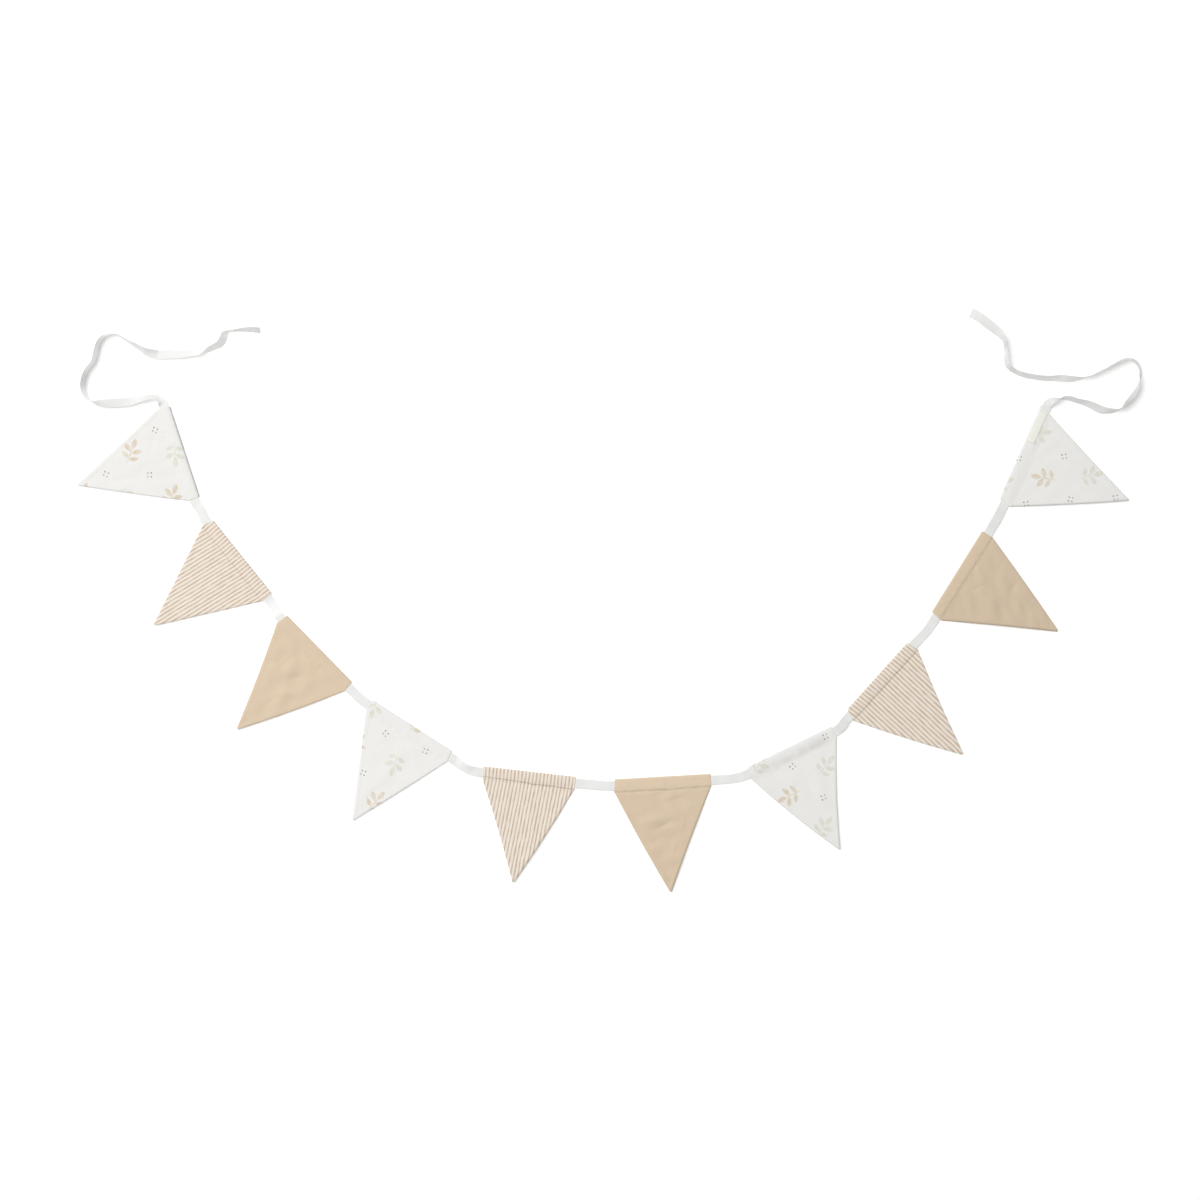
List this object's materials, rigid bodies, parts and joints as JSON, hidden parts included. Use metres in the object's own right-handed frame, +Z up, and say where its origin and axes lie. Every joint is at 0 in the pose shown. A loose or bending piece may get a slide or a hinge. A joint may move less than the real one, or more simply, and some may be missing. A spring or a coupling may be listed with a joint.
{
  "type": "bunting",
  "caption": "Cloth bunting: double-sided triangular flags, printed, striped and plain, threaded on a cotton tape with free tie ends, laid out in a U.",
  "frame": {"origin": "middle of the bunting's footprint, on the surface that it lies on", "axes": "+X along the bunting's long side, from its first flag to its last; +Y from the bottom of the U to the tie ends; +Z up, out of the cloths' faces"},
  "size_m": [1.6816, 0.9214, 0.0152],
  "materials": {
    "printed_cotton": "plain-weave cotton, off-white, with a pale sprig and dot print",
    "striped_cotton": "plain-weave cotton with narrow brown and cream stripes",
    "plain_cotton": "plain-weave cotton, beige, with a fine slub",
    "cotton_tape": "twill-woven cotton tape, white",
    "label": "blank woven label, ivory"
  },
  "bodies": {
    "root": {"flag_01_back": "printed_cotton", "flag_01_front": "printed_cotton", "flag_02_back": "striped_cotton", "flag_02_front": "striped_cotton", "flag_03_back": "plain_cotton", "flag_03_front": "plain_cotton", "flag_04_back": "printed_cotton", "flag_04_front": "printed_cotton", "flag_05_back": "striped_cotton", "flag_05_front": "striped_cotton", "flag_06_back": "plain_cotton", "flag_06_front": "plain_cotton", "flag_07_back": "printed_cotton", "flag_07_front": "printed_cotton", "flag_08_back": "striped_cotton", "flag_08_front": "striped_cotton", "flag_09_back": "plain_cotton", "flag_09_front": "plain_cotton", "flag_10_back": "printed_cotton", "flag_10_front": "printed_cotton", "label": "label", "tape": "cotton_tape"}
  },
  "joints": []
}
